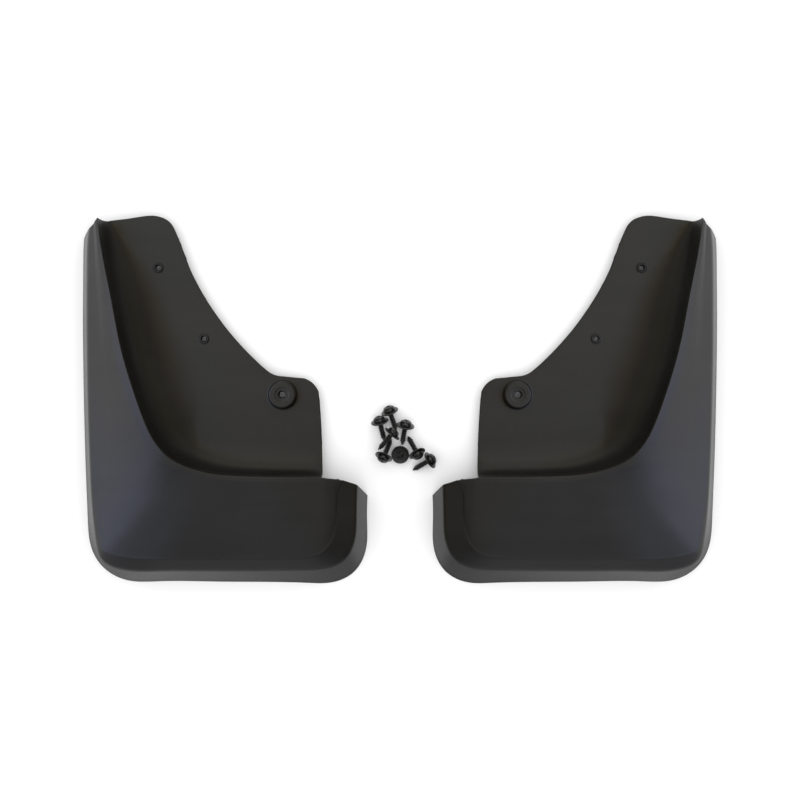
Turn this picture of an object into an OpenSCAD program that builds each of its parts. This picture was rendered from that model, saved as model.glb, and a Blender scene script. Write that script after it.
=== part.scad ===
// Handed pair of moulded car mud flaps with their fixing screws.
// Lying kit, +Z up, origin on the table plane under the middle of the set.
// Left flap at -X, right flap is its mirror image, screws in a loose heap between.

/* [Set layout] */
// Clear gap between the two flaps at their feet
flap_gap = 54.6; // [50:0.2:120]
// Heap of screws: shift along Y from its lie in LIE
heap_y = 0; // [-8:0.5:30]

/* [Flap shell] */
// Wall thickness of the moulding
wall_t = 3; // [2:0.1:3.5]
// Scale of all shell heights
depth_scale = 1; // [0.8:0.05:1.2]
// Length over which the rim is rounded, each side of its edge
rim_round = 3; // [2.5:0.5:6]
// Length over which the outer wall edge is rounded, each side of its edge
wall_round = 3; // [1:0.5:4]
// Steps from one section to the next
section_steps = 3; // [2:1:3]

/* [Mounting sheet] */
// Underside height of the mounting sheet above the table
sheet_z = 6; // [2:0.5:10]
// Radius of the two pilot holes that the screw threads bite into
hole_r = 2; // [1.8:0.1:2.2]
// Radius of the clearance hole through the boss
boss_hole_r = 2.6; // [2.5:0.1:3]
// Outer radius of the raised collar round each pilot hole
collar_r = 4.2; // [3.5:0.1:7]
// Height of the collar above the sheet
collar_h = 0.8; // [0.3:0.1:1.5]
// Radius of the spacer boss at its foot
boss_r = 11.8; // [8:0.1:13]
// Height of the spacer boss above the sheet
boss_h = 6; // [3:0.5:10]
// Chamfer at the top of the boss
boss_chamfer = 1.2; // [0.5:0.1:2]
// Radius of the countersink at the top of the boss hole
boss_csk_r = 3.4; // [3.1:0.1:5]

/* [Screws] */
// Length of the screw under its head
screw_len = 19; // [16:1:25]
// Outer radius of the thread
thread_r = 2.4; // [2.2:0.05:2.6]
// Root radius of the thread
root_r = 1.8; // [1.5:0.05:1.95]
// Thread pitch
pitch = 1.6; // [1.2:0.1:2]
// Radius of the plain neck that carries the washer
neck_r = 2; // [1.9:0.05:2.1]
// Radius of the domed head
head_r = 5.1; // [4:0.05:5.2]
// Height of the domed head
head_h = 3.8; // [2.8:0.1:4]
// Outer radius of the captive washer
washer_r = 7.5; // [6:0.1:8]
// Thickness of the captive washer
washer_t = 1.2; // [0.8:0.1:1.4]

/* [Hidden] */

flap_colour = [0.13, 0.13, 0.14];
screw_colour = [0.05, 0.05, 0.05];

// ---------------------------------------------------------------- flap frame
// u runs from the outboard side towards the middle of the car, v from the
// bottom edge up, z away from the table.
flap_w = 238.9;
flap_v_min = -0.16;
flap_v_max = 307.5;
sheet_top = sheet_z + wall_t;

// Table of sections, from the top of the outboard column, down it, round the
// lower corner, along the bottom panel and round its inboard end.
// [foot u, v], [wall top u, v, z], [border u, v], [rim u, v, z], scoop width
SECTIONS = [
  [[  2.6, 286.5], [ 11.3, 294.3, 29.0], [ 15.5, 298.0], [ 19.5, 302.5, 36.0],  5],
  [[  0.8, 276.0], [ 11.0, 278.0, 29.5], [ 17.0, 279.5], [ 22.5, 283.5, 40.0], 16],
  [[  0.2, 255.0], [ 10.8, 256.0, 29.0], [ 18.0, 257.0], [ 27.5, 259.0, 43.0], 30],
  [[  0.0, 230.0], [ 10.6, 230.0, 28.0], [ 19.0, 230.0], [ 33.5, 231.0, 45.0], 40],
  [[  0.1, 200.0], [ 10.6, 200.0, 27.0], [ 19.5, 200.0], [ 39.5, 201.0, 46.0], 46],
  [[  0.5, 170.0], [ 11.0, 170.0, 26.5], [ 20.5, 170.0], [ 48.0, 170.5, 47.0], 49],
  [[  1.1, 140.0], [ 11.7, 140.0, 26.5], [ 21.0, 141.0], [ 58.5, 140.5, 48.0], 46],
  [[  1.9, 110.0], [ 12.7, 111.0, 27.0], [ 21.5, 113.0], [ 67.0, 122.3, 48.4], 38],
  [[  2.9,  82.0], [ 13.8,  85.0, 28.5], [ 20.5,  87.0], [ 75.2, 111.6, 48.5], 31],
  [[  4.0,  55.0], [ 15.6,  58.0, 30.5], [ 19.0,  60.0], [ 82.0, 105.8, 48.0], 27],
  [[  6.6,  31.4], [ 17.6,  37.0, 32.0], [ 21.4,  38.6], [ 88.8, 101.9, 47.5], 23],
  [[ 18.0,  12.4], [ 24.5,  20.8, 33.0], [ 29.0,  28.4], [ 96.0,  99.0, 47.0], 20],
  [[ 40.0,   1.9], [ 47.5,  14.0, 34.0], [ 52.0,  24.6], [105.5,  96.2, 46.5], 17],
  [[ 70.0,   1.7], [ 76.0,  14.1, 34.5], [ 77.0,  24.0], [119.0,  93.6, 46.0], 15],
  [[110.0,   1.3], [112.0,  14.1, 34.5], [112.0,  24.0], [139.0,  92.2, 45.5], 13],
  [[150.0,   1.0], [149.0,  14.3, 34.5], [148.0,  24.0], [163.0,  91.6, 45.0], 12],
  [[184.0,   0.4], [180.0,  14.7, 34.5], [176.0,  24.3], [185.0,  91.4, 44.0], 11],
  [[207.0,   0.3], [201.0,  15.6, 34.5], [195.0,  26.0], [198.0,  91.1, 43.0], 10],
  [[224.0,   6.6], [217.0,  20.5, 34.5], [206.5,  32.5], [205.0,  90.1, 42.3],  5],
  [[234.4,  19.0], [226.5,  31.5, 34.5], [213.0,  44.0], [208.5,  89.7, 41.6],  4],
  [[238.6,  35.6], [230.0,  46.5, 34.5], [215.0,  57.0], [211.5,  89.4, 41.0],  4],
  [[238.5,  55.0], [230.6,  65.0, 34.5], [215.3,  72.0], [214.0,  89.2, 40.4],  4],
  [[238.9,  74.0], [231.3,  84.7, 34.0], [220.0,  88.4], [216.5,  89.3, 39.6],  4]
];
// Columns of SECTIONS
FOOT = 0;
WALL_TOP = 1;
BORDER = 2;
RIM = 3;
SCOOP = 4;

// Free outline of the mounting sheet, from its upper outboard corner round to
// its foot on the bottom panel: [u, v]. First the curved run, then the straight end.
SHEET_EDGE = [
  [ 21.8, 302.9], [ 38.8, 304.9], [ 57.7, 307.5], [ 68.2, 305.7], [ 74.8, 301.3],
  [ 79.3, 293.3], [ 86.3, 275.6], [ 91.7, 261.4], [100.2, 244.8], [110.4, 228.5],
  [122.6, 211.9], [137.1, 195.4], [152.5, 180.6], [161.5, 174.7], [173.3, 173.0],
  [186.3, 171.8]
];
SHEET_END = [[198.2, 160.8], [199.2, 153.0], [200.6,  96.2], [200.9,  88.2]];

// Screw holes: [u, v]
PILOT_HOLES = [[64.8, 264.0], [102.7, 204.8]];
BOSS_HOLE = [168.2, 158.0];

// ---------------------------------------------------------------- maths
function unit(v) = v / max(norm(v), 1e-9);
function mix(a, b, t) = a * (1 - t) + b * t;
// Value held between 0 and top
function clamp(value, top) = value < 0 ? 0 : value > top ? top : value;
function plan(p) = [p[0], p[1]];
function at_height(p, z) = [p[0], p[1], z];
// Curve through a, b, c, d, from b to c
function spline(a, b, c, d, t) =
  0.5 * (2 * b + (c - a) * t + (2 * a - 5 * b + 4 * c - d) * t * t
         + (3 * b - a - 3 * c + d) * t * t * t);
// Curve from a to c, drawn towards b
function bend(a, b, c, t) = a * (1 - t) * (1 - t) + b * 2 * t * (1 - t) + c * t * t;

// ---------------------------------------------------------------- flap rails
border_rise = 3.2;     // border above the wall top, along the bottom panel
border_flat_from = 8;  // section where the border starts to level out
border_flat_over = 5;  // number of sections it takes
last_section = len(SECTIONS) - 1;
stations = last_section * section_steps;

// 3-D point of section k in a column of the table
function section_point(k, column) =
  let(p = SECTIONS[clamp(k, last_section)][column])
  column == BORDER ? at_height(p, border_height(k, p)) :
  at_height(p, column == FOOT ? 0 : p[2] * depth_scale);
// On the column the border lies on the line from wall top to rim; along the
// bottom panel it stays a fixed rise above the wall top.
function border_height(k, border) =
  let(top = section_point(k, WALL_TOP),
      rim = section_point(k, RIM),
      share = min(1, norm(border - plan(top)) / norm(plan(rim) - plan(top))),
      flat = clamp((k - border_flat_from) / border_flat_over, 1))
  mix(mix(top[2], rim[2], share), top[2] + border_rise * depth_scale, flat);

// Section that station i lies on or follows
function section_before(i) = min(last_section - 1, floor(i / section_steps));
// Point of a column's rail at station i
function rail(i, column) =
  let(k = section_before(i))
  spline(section_point(k - 1, column), section_point(k, column),
         section_point(k + 1, column), section_point(k + 2, column),
         i / section_steps - k);
function scoop_width(i) =
  let(k = section_before(i))
  mix(SECTIONS[k][SCOOP], SECTIONS[k + 1][SCOOP], i / section_steps - k);
// Direction across the rim towards the sheet, level
function inward(i) =
  let(along = rail(min(i + 1, stations), RIM) - rail(max(i - 1, 0), RIM))
  unit([-along[1], along[0], 0]);

// ---------------------------------------------------------------- flap shell
// Last station whose scoop runs down to the sheet; past it only a lip is left
scoop_end_u = 199.5;
full_last = max([for (i = [0 : stations]) if (rail(i, RIM)[0] <= scoop_end_u) i]);
LIP_STEPS = [0.033, 0.066];
SCOOP_STEPS = [0.2, 0.36, 0.54, 0.76, 1];
lip_row = 13;     // last profile point of a lip section
tongue_in = 0.15; // depth of the scoop's end tongue below each face of the sheet
tongue_len = 2;   // level run of the tongue past the scoop

// Scoop: how far it has run out over the sheet, and how much height is left, at t
function flare(t) = 3 * (1 - t) * t * t * 0.35 + t * t * t;
function fall(t) = pow(1 - t, 3) + 3 * (1 - t) * (1 - t) * t * 0.22;

// Section through the shell at station i, foot to sheet
function profile(i) =
  let(foot = rail(i, FOOT),
      top = rail(i, WALL_TOP),
      border = rail(i, BORDER),
      rim = rail(i, RIM),
      top_start = top + unit(foot - top) * wall_round,
      top_end = top + unit(border - top) * wall_round,
      rim_start = rim + unit(border - rim) * min(rim_round, norm(border - rim) * 0.6),
      rim_end = rim - [0, 0, rim_round],
      base = sheet_top - tongue_in,
      width = scoop_width(i),
      across = inward(i),
      full = i <= full_last)
  concat(
    [foot],
    [for (t = [0, 0.5, 1]) bend(top_start, top, top_end, t)],
    [for (t = [0, 0.35, 0.7]) mix(border, rim_start, t)],
    [for (t = [0 : 0.25 : 1]) bend(rim_start, rim, rim_end, t)],
    [for (t = full ? concat(LIP_STEPS, SCOOP_STEPS) : LIP_STEPS)
      at_height(rim + across * width * flare(t), mix(base, rim_end[2], fall(t)))],
    full ? [at_height(rim + across * (width + tongue_len), base)] : []
  );

outer_grid = [for (i = [0 : stations]) profile(i)];
rows = len(outer_grid[0]);

// Next station that also has a point j, or i itself
function next_station(i, j) = i < stations && j < len(outer_grid[i + 1]) ? i + 1 : i;
// Outward normal of the seen side
function facing(i, j) =
  let(section = outer_grid[i],
      along = outer_grid[next_station(i, j)][j] - outer_grid[max(i - 1, 0)][j],
      across = section[min(j + 1, len(section) - 1)] - section[max(j - 1, 0)])
  unit(cross(along, across));

// Hidden side of the wall: foot kept on the table, tongue kept level
inner_grid = [for (i = [0 : stations]) [for (j = [0 : len(outer_grid[i]) - 1])
  let(p = outer_grid[i][j],
      offset_point = p - facing(i, j) * wall_t)
  j == 0 ? at_height(offset_point, 0) :
  j >= rows - 2 ? p - [0, 0, wall_t - 2 * tongue_in] :
  offset_point]];

// Four-sided face as two triangles
function quad(a, b, c, d) = [[a, b, c], [a, c, d]];

module shell() {
  outer_points = [for (section = outer_grid) each section];
  inner_points = [for (section = inner_grid) each section];
  // Point numbers on the seen (out) and hidden (hid) side
  function out(i, j) = j + (i <= full_last ? i * rows
    : (full_last + 1) * rows + (i - full_last - 1) * (lip_row + 1));
  function hid(i, j) = len(outer_points) + out(i, j);
  polyhedron(
    points = concat(outer_points, inner_points),
    faces = concat(
      // seen side and hidden side
      [for (i = [0 : stations - 1]) for (j = [0 : len(outer_grid[i + 1]) - 2]) each concat(
        quad(out(i, j), out(i, j + 1), out(i + 1, j + 1), out(i + 1, j)),
        quad(hid(i, j), hid(i + 1, j), hid(i + 1, j + 1), hid(i, j + 1)))],
      // upper end
      [for (j = [0 : rows - 2]) each
        quad(out(0, j), hid(0, j), hid(0, j + 1), out(0, j + 1))],
      // inboard end of the lip, then free end of the scoop
      [for (j = [0 : rows - 2]) let(i = j < lip_row ? stations : full_last) each
        quad(out(i, j), out(i, j + 1), hid(i, j + 1), hid(i, j))],
      // foot
      [for (i = [0 : stations - 1]) each
        quad(out(i, 0), out(i + 1, 0), hid(i + 1, 0), hid(i, 0))],
      // tongue in the sheet, then lower edge of the lip
      [for (i = [0 : stations - 1]) let(j = i < full_last ? rows - 1 : lip_row) each
        quad(out(i, j), hid(i, j), hid(i + 1, j), out(i + 1, j))]
    ), convexity = 12);
}

// ---------------------------------------------------------------- mounting sheet
// Edge of the sheet under the scoop, overlapping it
function sheet_root(i) =
  let(width = scoop_width(i))
  plan(rail(i, RIM) + inward(i) * (width - min(4, width * 0.4)));
edge_last = len(SHEET_EDGE) - 1;
function sheet_edge(k, t) =
  spline(SHEET_EDGE[clamp(k - 1, edge_last)], SHEET_EDGE[k],
         SHEET_EDGE[clamp(k + 1, edge_last)], SHEET_EDGE[clamp(k + 2, edge_last)], t);

module mounting_sheet() {
  translate([0, 0, sheet_z])
    linear_extrude(wall_t)
      polygon(concat(
        [for (k = [0 : edge_last - 1]) for (t = [0, 0.5]) sheet_edge(k, t)],
        [SHEET_EDGE[edge_last]],
        SHEET_END,
        [for (i = [full_last : -1 : 0]) sheet_root(i)]));
}

raised_z = sheet_z + 0.5; // collars and boss start inside the sheet
cut_over = 1;             // overrun of the holes at each end
csk_over = 0.4;           // overrun of the countersink, up and out

module collar(centre)
  translate(at_height(centre, raised_z))
    cylinder(r = collar_r, h = sheet_top - raised_z + collar_h, $fn = 48);

module boss() {
  height = sheet_top - raised_z + boss_h;
  translate(at_height(BOSS_HOLE, raised_z))
    rotate_extrude($fn = 64)
      polygon([[0, 0], [boss_r, 0], [boss_r, height - boss_chamfer],
               [boss_r - boss_chamfer, height], [0, height]]);
}

// Cutter through the sheet and what is raised on it
module hole(centre, radius, raised_h)
  translate(at_height(centre, sheet_z - cut_over))
    cylinder(r = radius, h = wall_t + raised_h + 2 * cut_over, $fn = 48);

module boss_countersink() {
  depth = boss_csk_r - boss_hole_r;
  translate(at_height(BOSS_HOLE, sheet_top + boss_h - depth))
    cylinder(r1 = boss_hole_r, r2 = boss_csk_r + csk_over, h = depth + csk_over, $fn = 48);
}

// ---------------------------------------------------------------- flaps
module flap() {
  difference() {
    union() {
      shell();
      mounting_sheet();
      for (centre = PILOT_HOLES) collar(centre);
      boss();
    }
    for (centre = PILOT_HOLES) hole(centre, hole_r, collar_h);
    hole(BOSS_HOLE, boss_hole_r, boss_h);
    boss_countersink();
  }
}

// Flap moved to the left of the set
module placed_flap()
  translate([-flap_gap / 2 - flap_w, -(flap_v_min + flap_v_max) / 2, 0]) flap();

module left_flap() color(flap_colour) placed_flap();
module right_flap() color(flap_colour) mirror([1, 0, 0]) placed_flap();

// ---------------------------------------------------------------- screws
// Local frame of a screw: bearing face of the head at z = 0, tip towards -z.
crown_r = 1.6;      // nearly flat middle of the head
crown_drop = 0.12;
head_edge_h = 0.8;  // height of the head's upright edge
neck_taper = 0.4;
thread_top = -2.2;
tip_min = 3;        // least length left below the thread
slot = [4.6, 1, 3];
slot_floor = 1.7;
turns = floor((screw_len + thread_top - tip_min) / pitch);
thread_end = thread_top - turns * pitch;

// Thread drawn as separate ridges
thread_points = [for (k = [0 : turns - 1]) each
  let(z = thread_top - k * pitch)
  [[root_r, z - pitch * 0.18], [thread_r, z - pitch * 0.5], [root_r, z - pitch * 0.82]]];

module screw_body() {
  dome_h = head_h - crown_drop - head_edge_h;
  difference() {
    rotate_extrude($fn = 48)
      polygon(concat(
        [[0, head_h], [crown_r, head_h - crown_drop]],
        [for (a = [60 : -20 : 20])
          [crown_r + (head_r - crown_r) * cos(a), head_edge_h + dome_h * sin(a)]],
        [[head_r, head_edge_h], [head_r - 0.1, 0]],
        [[neck_r, 0], [neck_r, thread_top + neck_taper], [root_r, thread_top]],
        thread_points,
        [[root_r, thread_end], [0.35, -screw_len + 0.25], [0, -screw_len]]));
    // cross recess with a tapered middle
    for (a = [0, 90])
      rotate([0, 0, a]) translate([-slot[0] / 2, -slot[1] / 2, slot_floor]) cube(slot);
    translate([0, 0, 1.2]) cylinder(r1 = 0.6, r2 = 1.3, h = 2.6, $fn = 24);
  }
}

washer_gap = 0.05;  // clear of the head
washer_play = 0.07; // clear of the neck

module washer_body() {
  bore_r = neck_r + washer_play;
  top = -washer_gap;
  bottom = top - washer_t;
  hollow = top - washer_t * 0.75; // underside round the bore
  rotate_extrude($fn = 64)
    polygon([
      [bore_r, top], [head_r + 0.4, top], [washer_r - 0.5, top - 0.25],
      [washer_r, top - 0.55], [washer_r, bottom], [washer_r - 0.3, bottom - 0.1],
      [washer_r - 1.2, bottom], [head_r, hollow], [bore_r, hollow]]);
}

// Lie of each screw in the heap: [x, y, z of the head's bearing face],
// heading of the tip in plan, dip of the tip below level
LIE = [
  [[ -8.9,  -8.8, 7.7],  -70.2,  21.5],
  [[-17.1, -17.3, 7.7],  -76.2,  21.5],
  [[  4.7, -20.6, 7.7],  -99.5,  22.9],
  [[ -6.0, -27.5, 11.6], -130.5,  10.0],
  [[-13.9, -48.1, 8.9],   67.5,  26.9],
  [[  0.2, -45.8, 3.81],   0.0, -90.0],
  [[ 14.6, -45.3, 8.9],  118.5,  26.9],
  [[ 25.7, -49.8, 7.7], -148.6,  21.5]
];

module place(k) {
  lie = LIE[k - 1];
  translate(lie[0] + [0, heap_y, 0])
    rotate([0, 0, lie[1]])
      rotate([0, -(90 - lie[2]), 0])
        children();
}
module screw_part(k) color(screw_colour) place(k) screw_body();
module washer_part(k) color(screw_colour) place(k) washer_body();

module screw_1() screw_part(1);
module screw_2() screw_part(2);
module screw_3() screw_part(3);
module screw_4() screw_part(4);
module screw_5() screw_part(5);
module screw_6() screw_part(6);
module screw_7() screw_part(7);
module screw_8() screw_part(8);
module washer_1() washer_part(1);
module washer_2() washer_part(2);
module washer_3() washer_part(3);
module washer_4() washer_part(4);
module washer_5() washer_part(5);
module washer_6() washer_part(6);
module washer_7() washer_part(7);
module washer_8() washer_part(8);

left_flap();
right_flap();
screw_1();
screw_2();
screw_3();
screw_4();
screw_5();
screw_6();
screw_7();
screw_8();
washer_1();
washer_2();
washer_3();
washer_4();
washer_5();
washer_6();
washer_7();
washer_8();
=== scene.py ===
"""A mirrored pair of moulded black plastic flaps lying on a white table, with a small heap of
eight black screws, each with its washer.

The scene is in metres with +Z up, the table just below z = 0 and the camera looking straight
down. The shapes are designed in millimetres. A flap is drawn in its own frame: x runs from the
outboard side inboard, y along the flap and z up from the table. The left flap is that drawing,
fitted to its CAD box; the right flap is its mirror image in x = 0.
"""
import bpy, bmesh, math
import numpy as np
from types import SimpleNamespace
from mathutils import Vector, Matrix
from mathutils.geometry import delaunay_2d_cdt


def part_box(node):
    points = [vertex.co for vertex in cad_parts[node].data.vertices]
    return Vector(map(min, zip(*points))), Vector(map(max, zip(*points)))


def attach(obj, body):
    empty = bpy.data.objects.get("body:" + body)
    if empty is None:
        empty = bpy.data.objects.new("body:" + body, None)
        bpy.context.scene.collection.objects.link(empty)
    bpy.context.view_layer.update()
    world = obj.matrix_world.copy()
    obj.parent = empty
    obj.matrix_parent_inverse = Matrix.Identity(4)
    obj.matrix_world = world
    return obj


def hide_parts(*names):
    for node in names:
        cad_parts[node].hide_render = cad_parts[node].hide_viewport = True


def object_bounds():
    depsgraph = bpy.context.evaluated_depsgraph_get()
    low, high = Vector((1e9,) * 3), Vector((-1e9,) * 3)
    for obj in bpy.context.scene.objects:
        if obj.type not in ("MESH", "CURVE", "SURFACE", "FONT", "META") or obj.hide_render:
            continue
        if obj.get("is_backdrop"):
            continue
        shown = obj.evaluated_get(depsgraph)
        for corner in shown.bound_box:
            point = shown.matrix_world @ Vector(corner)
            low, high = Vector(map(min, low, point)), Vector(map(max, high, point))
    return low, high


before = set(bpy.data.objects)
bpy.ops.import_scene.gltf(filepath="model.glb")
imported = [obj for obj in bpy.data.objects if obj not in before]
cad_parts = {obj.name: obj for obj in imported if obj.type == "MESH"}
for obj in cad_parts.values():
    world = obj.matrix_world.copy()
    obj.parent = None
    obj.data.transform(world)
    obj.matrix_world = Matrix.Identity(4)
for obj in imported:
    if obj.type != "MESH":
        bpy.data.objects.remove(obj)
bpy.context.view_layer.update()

MM = 0.001

# ------------------------------------------------------------------ flap dimensions (mm)
# Sections across the raised border, from the far end (high y) down the outboard side, along the
# bottom and up the inboard end:
# foot (x, y), wall top (x, y, z), border line (x, y), rim (x, y, z), scoop width
SECTIONS = [
    [(1.2, 290.5), (11.0, 294.5, 29.0), (15.5, 298.0), (19.5, 302.5, 36.0), 5],
    [(0.4, 277.0), (9.6, 279.0, 29.5), (17.0, 279.5), (22.5, 283.5, 40.0), 16],
    [(0.2, 255.0), (9.1, 256.0, 29.0), (18.0, 257.0), (27.5, 259.0, 43.0), 30],
    [(0.0, 230.0), (8.8, 230.0, 28.0), (19.0, 230.0), (33.5, 231.0, 45.0), 40],
    [(0.1, 200.0), (8.8, 200.0, 27.0), (19.5, 200.0), (39.5, 201.0, 46.0), 46],
    [(0.5, 170.0), (9.2, 170.0, 26.5), (20.5, 170.0), (48.0, 170.5, 47.0), 49],
    [(1.1, 140.0), (9.9, 140.0, 26.5), (21.0, 141.0), (58.5, 140.5, 48.0), 46],
    [(1.9, 110.0), (11.0, 111.0, 27.0), (21.5, 113.0), (67.0, 122.3, 48.4), 38],
    [(2.9, 82.0), (12.4, 85.0, 28.5), (20.5, 87.0), (75.2, 111.6, 48.5), 31],
    [(4.0, 55.0), (14.7, 58.0, 30.5), (19.0, 60.0), (82.0, 105.8, 48.0), 27],
    [(6.6, 31.4), (17.6, 37.0, 32.0), (21.4, 38.6), (88.8, 101.9, 47.5), 23],
    [(18.0, 12.4), (24.5, 20.8, 33.0), (29.0, 28.4), (96.0, 99.0, 47.0), 20],
    [(40.0, 1.9), (47.5, 14.0, 34.0), (52.0, 24.6), (105.5, 96.2, 46.5), 17],
    [(70.0, 1.7), (76.0, 14.1, 34.5), (77.0, 24.0), (119.0, 93.6, 46.0), 15],
    [(110.0, 1.3), (112.0, 14.1, 34.5), (112.0, 24.0), (139.0, 92.2, 45.5), 13],
    [(150.0, 1.0), (149.0, 14.3, 34.5), (148.0, 24.0), (163.0, 91.6, 45.0), 12],
    [(184.0, 0.4), (180.0, 14.7, 34.5), (176.0, 24.3), (185.0, 91.4, 44.0), 11],
    [(207.0, 0.3), (201.0, 15.6, 34.5), (195.0, 26.0), (198.0, 91.1, 43.0), 10],
    [(224.0, 6.6), (217.0, 20.5, 34.5), (206.5, 32.5), (205.0, 90.1, 42.3), 5],
    [(234.4, 19.0), (226.5, 31.5, 34.5), (213.0, 44.0), (208.5, 89.7, 41.6), 4],
    [(238.6, 35.6), (230.0, 46.5, 34.5), (215.0, 57.0), (211.5, 89.4, 41.0), 4],
    [(238.5, 55.0), (230.6, 65.0, 34.5), (215.3, 72.0), (214.0, 89.2, 40.4), 4],
    [(238.9, 74.0), (231.3, 84.7, 34.0), (220.0, 88.4), (216.5, 89.3, 39.6), 4],
]
# Free edge of the flat sheet (x, y), from the far end to the inboard chamfer
SHEET_EDGE = [
    (21.8, 302.9), (38.8, 304.9), (57.7, 307.5), (68.2, 305.7), (74.8, 301.3),
    (79.3, 293.3), (86.3, 275.6), (91.7, 261.4), (100.2, 244.8), (110.4, 228.5),
    (122.6, 211.9), (137.1, 195.4), (152.5, 180.6), (161.5, 174.7), (173.3, 173.0),
    (186.3, 171.8),
]
CHAMFER_END, INBOARD_START = (198.2, 160.8), (199.2, 153.0)
EDGE_STEP = 1.6              # spacing of points along the free edge
GRID = 6.0                   # spacing of points inside the sheet

WALL = 3.0                   # thickness of the moulding
SHEET_Z = 6.0                # underside of the flat sheet
SHEET_TOP = SHEET_Z + WALL
RIM_ROUND = 1.3
TOP_ROUND = 3.0              # rounding where the outer wall meets the border
BACK_ROUND = 1.0             # rounding of the same corners behind
EDGE_R = 0.7                 # rounding of the moulding's cut edge
LEAN = 5.0                   # how far the scoop's foot leans outboard at the inboard end
OUTLINE_GAP = 0.01           # clearance inside the CAD box

WALL_CROWN, FACE_CROWN = 0.21, 0.25
INSET_DEPTH = 0.06           # the face sits this much below the border
# Rows beside the inset line: distance from it on a wide face, the same as a share of a narrow
# face, and height in units of the inset depth
INSET = [(0.0, 0.0, 0.0), (0.7, 0.03, -0.3), (1.4, 0.06, -0.75), (2.1, 0.1, -1.0),
         (3.0, 0.15, -0.95), (4.4, 0.22, -0.6), (6.4, 0.30, -0.25)]
WIDE_FACE = 20
# Rows at the band along the rim: distance from the rim in band widths
BAND_ROWS = [2.1, 1.75, 1.45, 1.25, 1.1, 0.95, 0.8, 0.6, 0.4, 0.2]
WALL_ROWS, TOP_ROWS, BORDER_ROWS, FACE_ROWS, RIM_ROWS = 9, 7, 5, 10, 9
LIP_ROWS, SCOOP_ROWS = 5, 22
LIP_SHARE = 0.066            # part of the scoop's curve that forms the lip

# Where sections are cut, counted in rows of SECTIONS; the scoop meets the sheet up to SHEET_END
STATIONS = np.append(np.arange(0, 21.25, 0.125), [21.3, 21.65, 22.0])
SHEET_END = int(np.argmin(abs(STATIONS - 17.5)))

# Turned features of the sheet: (radius, height over the sheet's top)
UNDER = -WALL
PILOT = [
    (4.75, 0.0), (4.45, 0.03), (4.2, 0.14), (4.0, 0.34), (3.8, 0.56), (3.55, 0.73), (3.25, 0.8),
    (2.9, 0.8), (2.62, 0.72), (2.42, 0.5), (2.25, 0.22), (2.1, -0.05), (2.0, -0.35), (2.0, -1.2),
    (2.0, UNDER + 0.4), (2.08, UNDER + 0.15), (2.25, UNDER + 0.02), (2.6, UNDER), (4.2, UNDER)]
BOSS_H = 6.0
BOSS = [
    (12.9, 0.0), (12.45, 0.04), (12.1, 0.22), (11.9, 0.6), (11.78, 1.2), (11.6, 3.0),
    (11.42, BOSS_H - 1.45), (11.34, BOSS_H - 1.12), (11.1, BOSS_H - 0.78),
    (10.72, BOSS_H - 0.34), (10.45, BOSS_H - 0.1), (10.1, BOSS_H), (9.6, BOSS_H), (6.4, BOSS_H),
    (6.1, BOSS_H - 0.02), (5.85, BOSS_H - 0.16), (5.6, BOSS_H - 0.3), (5.3, BOSS_H - 0.32),
    (4.0, BOSS_H - 0.32), (3.55, BOSS_H - 0.36), (3.25, BOSS_H - 0.55), (2.95, BOSS_H - 0.85),
    (2.68, BOSS_H - 1.1), (2.6, BOSS_H - 1.4), (2.6, BOSS_H - 3.0),
    (2.6, UNDER + 0.4), (2.7, UNDER + 0.12), (2.95, UNDER), (8.0, UNDER)]
MARK = [(3.1, 0.0), (2.75, -0.015), (2.45, -0.035), (2.1, -0.045), (1.0, -0.045)]
# centre (x, y), radius of the opening in the sheet, segments, profile, goes through
FEATURES = [
    ((64.8, 264.0), 5.4, 48, PILOT, True),
    ((102.7, 204.8), 5.4, 48, PILOT, True),
    ((168.2, 158.0), 13.4, 72, BOSS, True),
    ((153.7, 131.0), 3.6, 32, MARK, False),
    ((172.0, 131.0), 3.6, 32, MARK, False),
]


# ------------------------------------------------------------------ curves and vectors
def cubic(points, t):
    """Natural cubic through evenly spaced points, read at every t."""
    points = np.asarray(points, float)
    n = len(points)
    system = np.zeros((n, n))
    right_side = np.zeros_like(points)
    system[0, 0] = system[-1, -1] = 1
    for k in range(1, n - 1):
        system[k, k - 1:k + 2] = (1, 4, 1)
        right_side[k] = 6 * (points[k - 1] - 2 * points[k] + points[k + 1])
    bend = np.linalg.solve(system, right_side)
    k = np.clip(np.floor(t).astype(int), 0, n - 2)
    x = (t - k)[:, None]
    return (points[k] * (1 - x) + points[k + 1] * x
            + ((1 - x) ** 3 - (1 - x)) * bend[k] / 6 + (x ** 3 - x) * bend[k + 1] / 6)


def catmull(points, k, t):
    last = len(points) - 1
    a, b, c, d = (np.array(points[min(max(q, 0), last)], float) for q in range(k - 1, k + 3))
    return 0.5 * (2 * b + (c - a) * t + (2 * a - 5 * b + 4 * c - d) * t * t
                  + (3 * b - a - 3 * c + d) * t ** 3)


def bezier(a, b, c, t):
    return a * (1 - t) ** 2 + b * 2 * t * (1 - t) + c * t ** 2


def lerp(a, b, t):
    return a + (b - a) * t


def unit(v):
    v = np.asarray(v, float)
    return v / np.maximum(np.linalg.norm(v, axis=-1, keepdims=True), 1e-9)


def clamp(x):
    return np.clip(x, 0, 1)


def smooth(x):
    x = clamp(x)
    return x * x * (3 - 2 * x)


def angles(segments):
    return [2 * math.pi * q / segments for q in range(segments)]


def miter(point, normal_1, normal_2, run):
    """The corner one wall thickness behind two planes that meet at point."""
    return point + np.linalg.solve(np.array([normal_1, normal_2, run]),
                                   np.array([-WALL, -WALL, 0.0]))


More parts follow.
